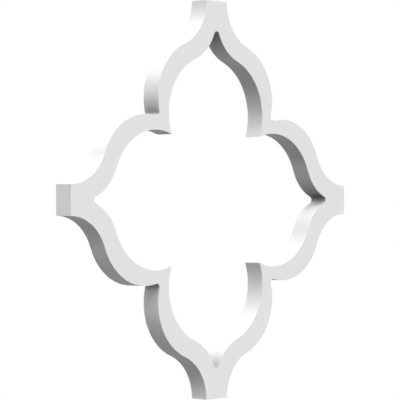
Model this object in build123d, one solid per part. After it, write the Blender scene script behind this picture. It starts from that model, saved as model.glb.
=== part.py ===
from build123d import *
import math
import os

# A square fretwork panel, routed in one piece from flat sheet. An S-curved strip runs round
# the open middle. Each arm swells into two round lobes, then narrows in two hollow curves to
# a flat end, where the panel butts against the next one of a run or against its frame.
# The panel stands in the XZ plane, centred on the origin, with its front face towards -Y.

# Driving dimensions, in millimetres and degrees
panel_width = 187.325  # 7 3/8 in, from the left end to the right end
panel_height = 187.325  # 7 3/8 in, from the bottom end to the top end
sheet_thickness = 9.525  # 3/8 in
end_width = 14.0  # each flat end, which is two strips side by side
notch_out = 37.3  # from either centreline to the notch where the lobes of two arms meet
notch_angle = 47.5  # how wide a notch opens between its two lobes
lobe_radius = 27.35  # the round part of the outline
cutter_radius = 1.7  # the router bit, which leaves its radius in every inside corner

# Sizes worked out from them
strip_step = end_width / 2  # the window's outline is the outer one moved in by this, both ways
lobe_slope = math.radians(90 - notch_angle) / 2  # from the arm's direction, where a lobe starts
arms = [
    (0, panel_width / 2),
    (90, panel_height / 2),
    (180, panel_width / 2),
    (270, panel_height / 2),
]

# Every function below that draws one arm draws it along +X, from the panel's centre out to its
# reach. A step of nought gives the outer outline, and a step of strip_step gives the window's.


def lobe_start(step):
    """Where the upper lobe leaves the diagonal: the notch, or the window's point across from it."""
    return Vector(notch_out - step, notch_out - step)


def lobe_centre(step):
    """Centre of the upper lobe's arc."""
    inward = Vector(math.sin(lobe_slope), -math.cos(lobe_slope))
    return lobe_start(step) + inward * lobe_radius


def hollow_radius(reach):
    """Radius of the curve that meets the flat end squarely and runs smoothly into the lobe."""
    end = Vector(reach, end_width / 2)
    across = end - lobe_centre(0)
    return (across.dot(across) - lobe_radius**2) / (2 * (lobe_radius - across.Y))


def hollow_centre(reach, step):
    """Centre of the upper hollow curve, straight above the flat end."""
    return Vector(reach - step, end_width / 2 + hollow_radius(reach) - step)


def nearest_point(centre, radius, other):
    """The point of a circle that is nearest to another point."""
    return centre + (other - centre).normalized() * radius


def upper_curves(reach, step, end):
    """Draws the upper lobe and the hollow curve that takes it to its end."""
    join = nearest_point(lobe_centre(step), lobe_radius, hollow_centre(reach, step))
    RadiusArc(lobe_start(step), join, lobe_radius)
    RadiusArc(join, end, -hollow_radius(reach))


def outer_arm(reach):
    """The outside of one arm, above and below its flat end."""
    end = Vector(reach, end_width / 2)
    with BuildLine() as outline:
        upper_curves(reach, 0, end)
        Line(end, (reach, 0))
        mirror(about=Plane.XZ)
    return outline.line


def window_arm(reach):
    """The window's edge in one arm, above and below a tip as round as the cutter."""
    hollow = hollow_centre(reach, strip_step)
    spread = hollow_radius(reach) + cutter_radius
    tip_centre = Vector(hollow.X - math.sqrt(spread**2 - hollow.Y**2), 0)
    end = nearest_point(tip_centre, cutter_radius, hollow)
    with BuildLine() as outline:
        upper_curves(reach, strip_step, end)
        RadiusArc(end, tip_centre + Vector(cutter_radius, 0), cutter_radius)
        mirror(about=Plane.XZ)
    return outline.line


def closed_outline(draw_arm):
    """The four arms of one outline, joined into a face."""
    with BuildSketch() as face:
        with BuildLine():
            for turn, reach in arms:
                add(draw_arm(reach).rotate(Axis.Z, turn))
        make_face()
    return face.sketch


def is_notch(vertex):
    """Whether a corner lies on a diagonal, where the lobes of two arms meet."""
    return math.isclose(abs(vertex.X), abs(vertex.Y))


def panel_face():
    """The front view of the panel: the outer outline, its notches rounded, less the window."""
    with BuildSketch(Plane.XZ) as face:
        add(closed_outline(outer_arm))
        fillet(face.vertices().filter_by(is_notch), radius=cutter_radius)
        add(closed_outline(window_arm), mode=Mode.SUBTRACT)
    return face.sketch


def fretwork_panel():
    """The sheet cut to that view, its edges left as crisp as the bit leaves them."""
    with BuildPart() as panel:
        extrude(panel_face(), amount=sheet_thickness / 2, both=True)
    return panel.part


os.makedirs("parts", exist_ok=True)
export_step(fretwork_panel(), "parts/fretwork_panel.step")
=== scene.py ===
"""Finishes, lights and frames a fretwork panel of white cellular PVC.

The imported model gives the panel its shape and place: X runs to the right end, Z to the top end,
and the front face looks along -Y. This script gives the panel its surface, sets it above a pale
floor in soft studio light, and aims the camera. Lengths are in metres unless a name ends in _mm.
"""

import logging
import math
from dataclasses import dataclass
from enum import Enum, IntEnum
from typing import Any, NamedTuple

import bmesh
import bpy
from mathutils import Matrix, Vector

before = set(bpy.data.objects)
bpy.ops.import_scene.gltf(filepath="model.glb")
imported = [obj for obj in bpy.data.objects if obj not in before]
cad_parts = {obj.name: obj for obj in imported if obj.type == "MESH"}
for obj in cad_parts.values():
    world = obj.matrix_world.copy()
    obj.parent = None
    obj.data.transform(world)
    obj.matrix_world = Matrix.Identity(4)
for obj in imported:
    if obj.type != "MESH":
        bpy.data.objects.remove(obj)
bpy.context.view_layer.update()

MM = 0.001
# Each pattern has one layer of marks half the size over its own, at half their weight.
FINER_LAYERS = 1.0
FINER_WEIGHT = 0.5

log = logging.getLogger("fretwork_panel")


class Drawn(Enum):
    """How a pattern lies in the panel, as the share of each axis that it varies along."""

    ALL_WAYS = (1.0, 1.0, 1.0)
    ACROSS_THE_EDGE = (1.0, 0.0, 1.0)


class MixFloat(IntEnum):
    """Input sockets of a Mix node that blends two numbers."""

    FACTOR = 0
    FIRST = 2
    SECOND = 3


class MixColour(IntEnum):
    """Input sockets of a Mix node that blends two colours."""

    FACTOR = 0
    FIRST = 6
    SECOND = 7


class MixResult(IntEnum):
    """Output sockets of a Mix node."""

    NUMBER = 0
    COLOUR = 2


class Look(NamedTuple):
    """What one kind of surface feeds to the shader."""

    colour: bpy.types.NodeSocket
    roughness: bpy.types.NodeSocket
    height: bpy.types.NodeSocket


def linear(colour: str) -> tuple[float, float, float, float]:
    """Turn an sRGB hex colour into the linear colour that a shader takes.

    Args:
        colour: A hash and six hex digits, such as "#f2f2f0".

    Returns:
        Red, green and blue, and an alpha of one.
    """
    shares = [int(colour[start : start + 2], 16) / 255 for start in (1, 3, 5)]
    # The sRGB standard's curve is a straight line near black, and a power above it.
    red, green, blue = (s / 12.92 if s <= 0.04045 else ((s + 0.055) / 1.055) ** 2.4 for s in shares)
    return red, green, blue, 1.0


def add_node(
    tree: bpy.types.NodeTree,
    kind: str,
    settings: dict[str | int, Any] | None = None,
    links: dict[str | int, bpy.types.NodeSocket] | None = None,
) -> bpy.types.Node:
    """Add a node to a tree, with its settings and what feeds it.

    Args:
        tree: The tree that the node joins.
        kind: The node's type, such as "ShaderNodeTexNoise".
        settings: Values of the node's own options, or of its inputs by name or number.
        links: The outputs that feed its inputs, by the input's name or number.

    Returns:
        The new node.
    """
    node = tree.nodes.new(kind)
    for name, value in (settings or {}).items():
        if isinstance(name, str) and hasattr(node, name):
            setattr(node, name, value)
        else:
            node.inputs[name].default_value = value
    for name, source in (links or {}).items():
        tree.links.new(source, node.inputs[name])
    return node


def new_material(name: str) -> bpy.types.Material:
    """Make a material whose node tree is empty.

    Args:
        name: The material's name.

    Returns:
        The new material.
    """
    material = bpy.data.materials.new(name)
    material.use_nodes = True
    material.node_tree.nodes.clear()
    return material


def soft_marks(
    tree: bpy.types.NodeTree, size_mm: float, drawn: Drawn = Drawn.ALL_WAYS
) -> bpy.types.NodeSocket:
    """Draw a soft random pattern on the object.

    Args:
        tree: The material's tree.
        size_mm: Distance from one mark to the next.
        drawn: How the pattern lies in the panel.

    Returns:
        An output from about 0 to 1, with its middle at 0.5.
    """
    place = add_node(tree, "ShaderNodeTexCoord")
    laid = add_node(
        tree,
        "ShaderNodeVectorMath",
        {"operation": "MULTIPLY", 1: drawn.value},
        {0: place.outputs["Object"]},
    )
    pattern = add_node(
        tree,
        "ShaderNodeTexNoise",
        {"Scale": 1 / (size_mm * MM), "Detail": FINER_LAYERS, "Roughness": FINER_WEIGHT},
        {"Vector": laid.outputs["Vector"]},
    )
    return pattern.outputs["Fac"]


@dataclass(frozen=True)
class BoardSurface:
    """One kind of surface on the board.

    Attributes:
        colour: Its colour where the pattern is strongest.
        shade: Its colour where the pattern is weakest.
        roughness: From where the pattern is weakest to where it is strongest.
    """

    colour: str
    shade: str
    roughness: tuple[float, float]

    def follow(
        self, tree: bpy.types.NodeTree, pattern: bpy.types.NodeSocket, height: bpy.types.NodeSocket
    ) -> Look:
        """Let the colour and the roughness follow a pattern.

        Args:
            tree: The board's node tree.
            pattern: An output from 0 to 1.
            height: An output with the height of the relief.

        Returns:
            The surface's look.
        """
        tint = add_node(
            tree,
            "ShaderNodeMix",
            {
                "data_type": "RGBA",
                MixColour.FIRST: linear(self.shade),
                MixColour.SECOND: linear(self.colour),
            },
            {MixColour.FACTOR: pattern},
        )
        low, high = self.roughness
        gloss = add_node(tree, "ShaderNodeMapRange", {"To Min": low, "To Max": high}, {"Value": pattern})
        return Look(tint.outputs[MixResult.COLOUR], gloss.outputs["Result"], height)


@dataclass(frozen=True)
class CalenderedSkin(BoardSurface):
    """The sheet's own faces, pressed smooth between rollers.

    The eye sees an even white with a faint satin, hardly broken by a fine pebble.
    """

    colour: str = "#eeeeee"
    shade: str = "#ececec"
    roughness: tuple[float, float] = (0.43, 0.53)
    mottle_mm: float = 20.0
    # The pebble is about 0.5 mm across. It is drawn coarser, to show.
    pebble_mm: float = 1.2
    pebble_depth_mm: float = 0.003

    def look(self, tree: bpy.types.NodeTree) -> Look:
        """Draw the skin's colour, gloss and relief.

        Args:
            tree: The board's node tree.

        Returns:
            The skin's look.
        """
        mottle = soft_marks(tree, self.mottle_mm)
        pebble = soft_marks(tree, self.pebble_mm)
        depth = self.pebble_depth_mm * MM
        relief = add_node(tree, "ShaderNodeMapRange", {"To Max": depth}, {"Value": pebble})
        return self.follow(tree, mottle, relief.outputs["Result"])


@dataclass(frozen=True)
class RoutedCut(BoardSurface):
    """The edges, where the router bit opened the foam.

    The eye sees a drier white than the skin's, with faint ridges across the edge, one to each
    bite of the bit, and a fine speckle of cut cells.
    """

    colour: str = "#eeeeee"
    shade: str = "#eaeaea"
    roughness: tuple[float, float] = (0.60, 0.72)
    # Bites are about 0.4 mm apart and cells 0.1 mm across. Both are drawn coarser, to show.
    bite_mm: float = 0.9
    bite_depth_mm: float = 0.012
    cell_mm: float = 0.35
    cell_depth_mm: float = 0.008

    def look(self, tree: bpy.types.NodeTree) -> Look:
        """Draw the cut's colour, gloss and relief.

        Args:
            tree: The board's node tree.

        Returns:
            The cut's look.
        """
        bites = soft_marks(tree, self.bite_mm, Drawn.ACROSS_THE_EDGE)
        cells = soft_marks(tree, self.cell_mm)
        ridges, pits = (
            add_node(tree, "ShaderNodeMapRange", {"To Max": depth_mm * MM}, {"Value": marks})
            for marks, depth_mm in ((bites, self.bite_depth_mm), (cells, self.cell_depth_mm))
        )
        relief = add_node(
            tree,
            "ShaderNodeMath",
            {"operation": "ADD"},
            {0: ridges.outputs["Result"], 1: pits.outputs["Result"]},
        )
        return self.follow(tree, cells, relief.outputs["Value"])


@dataclass(frozen=True)
class CellularPvc:
    """White cellular PVC board, skinned on its faces and routed round its edges."""

    name: str = "routed_cellular_pvc"
    skin: CalenderedSkin = CalenderedSkin()
    cut: RoutedCut = RoutedCut()
    ior: float = 1.53
    # The share of a face's normal that lies along Y: cut under the first, skin over the second.
    skin_from: tuple[float, float] = (0.90, 0.98)
    # Faces nearer than this hide each other from the room. Inside corners get painted shade, with the
    # colour darkened there the more they are hidden.
    painted_shade_reach_mm: float = 12.0
    # The colour that the painted shade darkens towards.
    painted_corner_shade: str = "#000000"
    painted_shade_samples: int = 16
    # The relief's heights are in metres, and the bump takes them as they are and in full.
    bump_distance: float = 1.0
    bump_strength: float = 1.0

    def make(self) -> bpy.types.Material:
        """Build the material.

        Returns:
            The board's material.
        """
        material = new_material(self.name)
        tree = material.node_tree
        look = self._look(tree)
        # Painted shade: the colour is mixed towards black in inside corners, the more so the more they
        # are hidden.
        with_painted_shade = add_node(
            tree,
            "ShaderNodeMix",
            {"data_type": "RGBA", MixColour.FIRST: linear(self.painted_corner_shade)},
            {MixColour.FACTOR: self._painted_shade_openness(tree), MixColour.SECOND: look.colour},
        )
        bump = add_node(
            tree,
            "ShaderNodeBump",
            {"Strength": self.bump_strength, "Distance": self.bump_distance},
            {"Height": look.height},
        )
        board = add_node(
            tree,
            "ShaderNodeBsdfPrincipled",
            {"IOR": self.ior},
            {
                "Base Color": with_painted_shade.outputs[MixResult.COLOUR],
                "Roughness": look.roughness,
                "Normal": bump.outputs["Normal"],
            },
        )
        add_node(tree, "ShaderNodeOutputMaterial", links={"Surface": board.outputs["BSDF"]})
        return material

    def _look(self, tree: bpy.types.NodeTree) -> Look:
        """Tell skin from cut by the way a surface faces, and give each its own look.

        Args:
            tree: The board's node tree.

        Returns:
            The whole board's look.
        """
        skinned = self._skinned(tree)
        skin, cut = self.skin.look(tree), self.cut.look(tree)
        colour = add_node(
            tree,
            "ShaderNodeMix",
            {"data_type": "RGBA"},
            {MixColour.FACTOR: skinned, MixColour.FIRST: cut.colour, MixColour.SECOND: skin.colour},
        )
        roughness, height = (
            add_node(
                tree,
                "ShaderNodeMix",
                {"data_type": "FLOAT"},
                {MixFloat.FACTOR: skinned, MixFloat.FIRST: first, MixFloat.SECOND: second},
            ).outputs[MixResult.NUMBER]
            for first, second in ((cut.roughness, skin.roughness), (cut.height, skin.height))
        )
        return Look(colour.outputs[MixResult.COLOUR], roughness, height)

    def _painted_shade_openness(self, tree: bpy.types.NodeTree) -> bpy.types.NodeSocket:
        """Find how hidden each spot is, for the shade painted into inside corners.

        Args:
            tree: The board's node tree.

        Returns:
            An output with 1 on open faces, and less in corners the more they are hidden.
        """
        hidden = add_node(
            tree,
            "ShaderNodeAmbientOcclusion",
            {"samples": self.painted_shade_samples, "only_local": True, "Distance": self.painted_shade_reach_mm * MM},
        )
        softened = add_node(tree, "ShaderNodeMath", {"operation": "SQRT"}, {0: hidden.outputs["AO"]})
        return softened.outputs["Value"]

    def _skinned(self, tree: bpy.types.NodeTree) -> bpy.types.NodeSocket:
        """Tell the sheet's faces from its cut edges.

        Args:
            tree: The board's node tree.

        Returns:
            An output with 1 on the faces and 0 on the cut edges.
        """
        geometry = add_node(tree, "ShaderNodeNewGeometry")
        normal = geometry.outputs["True Normal"]
        facing = add_node(tree, "ShaderNodeSeparateXYZ", links={"Vector": normal})
        along_y = add_node(tree, "ShaderNodeMath", {"operation": "ABSOLUTE"}, {0: facing.outputs["Y"]})
        cut_below, skin_above = self.skin_from
        mask = add_node(
            tree,
            "ShaderNodeMapRange",
            {"From Min": cut_below, "From Max": skin_above},
            {"Value": along_y.outputs["Value"]},
        )
        return mask.outputs["Result"]


@dataclass(frozen=True)
class FloorPaint:
    """Matt white emulsion, rolled on. The eye sees an even pale floor with no gloss."""

    name: str = "rolled_white_emulsion"
    colour: str = "#f4f4f3"
    shade: str = "#f1f1f0"
    roughness: float = 0.9
    # A roller's stipple is about 2 mm across. It is drawn coarser, to show.
    stipple_mm: float = 6.0

    def make(self) -> bpy.types.Material:
        """Build the material.

        Returns:
            The floor's material.
        """
        material = new_material(self.name)
        tree = material.node_tree
        tint = add_node(
            tree,
            "ShaderNodeMix",
            {
                "data_type": "RGBA",
                MixColour.FIRST: linear(self.shade),
                MixColour.SECOND: linear(self.colour),
            },
            {MixColour.FACTOR: soft_marks(tree, self.stipple_mm)},
        )
        paint = add_node(
            tree,
            "ShaderNodeBsdfPrincipled",
            {"Roughness": self.roughness},
            {"Base Color": tint.outputs[MixResult.COLOUR]},
        )
        add_node(tree, "ShaderNodeOutputMaterial", links={"Surface": paint.outputs["BSDF"]})
        return material


@dataclass
class FretworkPanel:
    """The panel itself, one piece of board."""

    node: str = "fretwork_panel"
    finish: CellularPvc = CellularPvc()

    def dress(self) -> bpy.types.Object:
        """Give the panel its finish.

        Returns:
            The panel's object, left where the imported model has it.
        """
        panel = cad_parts[self.node]
        material = self.finish.make()
        for slot in panel.material_slots:
            slot.material = material
        return panel


@dataclass
class Floor:
    """A round pale floor, far enough below the panel to stay out of the portrait."""

    radius: float = 1.5
    below_centre: float = 0.25
    sides: int = 128
    finish: FloorPaint = FloorPaint()

    def build(self) -> bpy.types.Object:
        """Make the floor.

        Returns:
            The floor's object.
        """
        mesh = bpy.data.meshes.new("floor")
        shape = bmesh.new()
        bmesh.ops.create_circle(shape, cap_ends=True, segments=self.sides, radius=self.radius)
        shape.to_mesh(mesh)
        shape.free()
        mesh.materials.append(self.finish.make())
        floor = bpy.data.objects.new("floor", mesh)
        floor.location.z = -self.below_centre
        # The floor shows and takes shadows, but neither lights the panel nor hides the low fills.
        floor.visible_diffuse = False
        floor.visible_glossy = False
        floor.visible_shadow = False
        bpy.context.scene.collection.objects.link(floor)
        return floor


@dataclass
class StudioLight:
    """A broad lamp far from the panel.

    Attributes:
        name: The lamp's name.
        towards: Direction from the panel to the lamp.
        strength: Brightness of a white matt surface that faces the lamp, where 1 is white.
        breadth_deg: How wide the lamp looks from the panel, which softens its shadows.
        bounces: How often its light may bounce. With none, crevices stay as dark as the photo's.
    """

    name: str
    towards: tuple[float, float, float]
    strength: float
    breadth_deg: float
    bounces: int = 0

    def build(self) -> bpy.types.Object:
        """Make the lamp and aim it at the panel.

        Returns:
            The lamp's object.
        """
        lamp = bpy.data.lights.new(self.name, "SUN")
        # A white matt surface that faces a lamp of pi watts per square metre is white.
        lamp.energy = math.pi * self.strength
        lamp.angle = math.radians(self.breadth_deg)
        lamp.cycles.max_bounces = self.bounces
        # Otherwise a glossy ray that meets the lamp still brings in its bounced light.
        lamp.cycles.use_multiple_importance_sampling = False
        light = bpy.data.objects.new(self.name, lamp)
        light.rotation_euler = Vector(self.towards).to_track_quat("Z", "Y").to_euler()
        light.location = Vector(self.towards).normalized()
        bpy.context.scene.collection.objects.link(light)
        return light


@dataclass
class LightRig:
    """The studio's lamps: soft ones above from front to rear, and dim fills from below.

    The back light is there for the back face, which the portrait doesn't show.
    """

    lamps: tuple[StudioLight, ...] = (
        StudioLight("front_light", towards=(-0.162, -0.931, 0.328), strength=0.547, breadth_deg=12.0),
        StudioLight("key_light", towards=(-0.287, -0.303, 0.909), strength=0.939, breadth_deg=69.3),
        StudioLight("rear_light", towards=(-0.071, 0.862, 0.503), strength=0.490, breadth_deg=31.9),
        StudioLight("side_light", towards=(-0.836, 0.212, 0.506), strength=0.106, breadth_deg=24.5),
        StudioLight("right_fill", towards=(0.733, 0.139, -0.666), strength=0.353, breadth_deg=133.1),
        StudioLight("left_fill", towards=(-0.906, 0.267, -0.329), strength=0.171, breadth_deg=104.5),
        StudioLight("back_light", towards=(0.600, 0.750, 0.280), strength=0.250, breadth_deg=30.0),
    )

    def build(self) -> list[bpy.types.Object]:
        """Make every lamp."""
        return [lamp.build() for lamp in self.lamps]


@dataclass
class Surround:
    """The room round the stage: an even white behind the panel, which throws no light on it."""

    colour: str = "#ffffff"

    def build(self) -> bpy.types.World:
        """Make the backdrop.

        Returns:
            The scene's world.
        """
        world = bpy.data.worlds.new("studio")
        world.use_nodes = True
        tree = world.node_tree
        tree.nodes.clear()
        seen = add_node(tree, "ShaderNodeLightPath")
        backdrop = add_node(
            tree,
            "ShaderNodeBackground",
            {"Color": linear(self.colour)},
            {"Strength": seen.outputs["Is Camera Ray"]},
        )
        add_node(tree, "ShaderNodeOutputWorld", links={"Surface": backdrop.outputs["Background"]})
        bpy.context.scene.world = world
        return world


@dataclass
class Camera:
    """A long lens, level with the panel's centre and about half a right angle to its left.

    Attributes:
        turn_deg: How far round to the left the camera stands from straight in front.
        distance: From the lens to the panel's centre.
        lens_mm: Focal length.
        aim_off_deg: How far left of the panel's centre the camera looks, which sets the panel
            right of the middle of the picture.
        aim_down_deg: How far below the panel's centre the camera looks.
    """

    turn_deg: float = 46.67
    distance: float = 0.9836
    lens_mm: float = 187.3
    aim_off_deg: float = 0.2597
    aim_down_deg: float = 0.0018

    def build(self) -> bpy.types.Object:
        """Make the camera and set it as the scene's own.

        Returns:
            The camera's object.
        """
        data = bpy.data.cameras.new("portrait")
        data.lens = self.lens_mm
        camera = bpy.data.objects.new("portrait", data)
        turn = math.radians(self.turn_deg)
        camera.location = Vector((-math.sin(turn), -math.cos(turn), 0.0)) * self.distance
        # A camera looks straight down until it is turned up by a right angle.
        level = math.pi / 2
        aim = turn - math.radians(self.aim_off_deg)
        camera.rotation_euler = (level - math.radians(self.aim_down_deg), 0.0, -aim)
        bpy.context.scene.collection.objects.link(camera)
        bpy.context.scene.camera = camera
        return camera


def main() -> None:
    """Dress the panel, set the stage round it and aim the camera."""
    logging.basicConfig(level=logging.INFO, format="%(name)s: %(message)s")
    panel = FretworkPanel().dress()
    log.info("panel %s wears %s", panel.name, panel.material_slots[0].material.name)
    floor = Floor().build()
    log.info("floor %s lies at %.3f m", floor.name, floor.location.z)
    for light in LightRig().build():
        log.info("lamp %s shines", light.name)
    Surround().build()
    camera = Camera().build()
    log.info("camera %s has a %.1f mm lens", camera.name, camera.data.lens)
    bpy.context.scene.view_settings.view_transform = "Standard"


if __name__ == "__main__":
    main()
